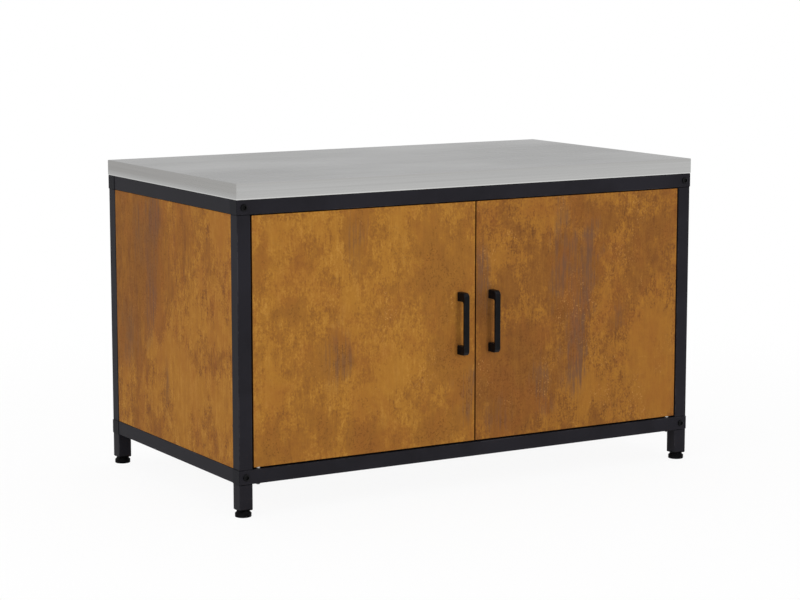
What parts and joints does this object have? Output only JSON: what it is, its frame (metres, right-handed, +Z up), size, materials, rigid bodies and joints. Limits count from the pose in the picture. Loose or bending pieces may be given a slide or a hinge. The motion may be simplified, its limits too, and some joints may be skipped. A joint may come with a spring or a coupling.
{
  "type": "kitchen storage cabinet",
  "caption": "Free-standing kitchen storage cabinet: square-tube frame on levelling feet, steel worktop, rust-look inset panels and pivot doors with bridge handles over a shelf.",
  "frame": {"origin": "middle of the outer box on the floor", "axes": "+X to the right along the front, +Y from the doors to the back, +Z up"},
  "size_m": [1.134, 0.6604, 0.682],
  "materials": {
    "frame_paint": "satin anthracite powder coat",
    "worktop_steel": "fine brushed stainless steel",
    "rust_decor": "satin rust-look decor board",
    "raw_board": "raw board core",
    "black_plastic": "matt black moulded plastic",
    "handle_black": "satin black coating",
    "black_bolts": "black oxide",
    "zinc_steel": "bright zinc plate",
    "white_nylon": "natural white nylon",
    "ferrite": "dark sintered magnet"
  },
  "bodies": {
    "carcass": {"front_top_rail": "frame_paint", "back_top_rail": "frame_paint", "left_top_rail": "frame_paint", "right_top_rail": "frame_paint", "front_bottom_rail": "frame_paint", "back_bottom_rail": "frame_paint", "left_bottom_rail": "frame_paint", "right_bottom_rail": "frame_paint", "front_left_post": "frame_paint", "front_left_leg": "frame_paint", "front_right_post": "frame_paint", "front_right_leg": "frame_paint", "back_left_post": "frame_paint", "back_left_leg": "frame_paint", "back_right_post": "frame_paint", "back_right_leg": "frame_paint", "rail_end_caps": "black_plastic", "frame_bolts": "black_bolts", "side_rail_nut_plates": "zinc_steel", "leg_inserts": "black_plastic", "worktop_skin": "worktop_steel", "worktop_core": "raw_board", "worktop_tabs": "frame_paint", "worktop_screws": "zinc_steel", "left_side_panel": "rust_decor", "right_side_panel": "rust_decor", "back_panel": "rust_decor", "bottom_panel": "rust_decor", "side_panel_tabs": "frame_paint", "back_panel_tabs": "frame_paint", "bottom_panel_tabs": "frame_paint", "panel_screws": "zinc_steel", "shelf": "rust_decor", "shelf_pins": "zinc_steel", "lower_pivot_pins": "zinc_steel", "upper_pivot_pins": "zinc_steel", "catch_housing": "black_plastic", "catch_magnets": "ferrite", "catch_screws": "zinc_steel"},
    "left_door": {"left_door_panel": "rust_decor", "left_pivot_bushes": "white_nylon", "left_handle": "handle_black", "left_handle_screws": "zinc_steel", "left_strike_plate": "zinc_steel", "left_strike_screw": "zinc_steel"},
    "right_door": {"right_door_panel": "rust_decor", "right_pivot_bushes": "white_nylon", "right_handle": "handle_black", "right_handle_screws": "zinc_steel", "right_strike_plate": "zinc_steel", "right_strike_screw": "zinc_steel"},
    "front_left_foot": {"front_left_foot_pad": "black_plastic", "front_left_foot_stud": "zinc_steel"},
    "front_right_foot": {"front_right_foot_pad": "black_plastic", "front_right_foot_stud": "zinc_steel"},
    "back_left_foot": {"back_left_foot_pad": "black_plastic", "back_left_foot_stud": "zinc_steel"},
    "back_right_foot": {"back_right_foot_pad": "black_plastic", "back_right_foot_stud": "zinc_steel"}
  },
  "joints": [
    {"name": "left_door_pivot", "type": "hinge", "parent": "carcass", "child": "left_door", "pos_m": [-0.518, -0.2922, 0.359], "axis": [0, 0, -1], "range_deg": [0, 110]},
    {"name": "right_door_pivot", "type": "hinge", "parent": "carcass", "child": "right_door", "pos_m": [0.518, -0.2922, 0.359], "axis": [0, 0, 1], "range_deg": [0, 110]},
    {"name": "front_left_foot_level", "type": "slide", "parent": "carcass", "child": "front_left_foot", "axis": [0, 0, -1], "range_m": [-0.001, 0.014]},
    {"name": "front_right_foot_level", "type": "slide", "parent": "carcass", "child": "front_right_foot", "axis": [0, 0, -1], "range_m": [-0.001, 0.014]},
    {"name": "back_left_foot_level", "type": "slide", "parent": "carcass", "child": "back_left_foot", "axis": [0, 0, -1], "range_m": [-0.001, 0.014]},
    {"name": "back_right_foot_level", "type": "slide", "parent": "carcass", "child": "back_right_foot", "axis": [0, 0, -1], "range_m": [-0.001, 0.014]}
  ]
}
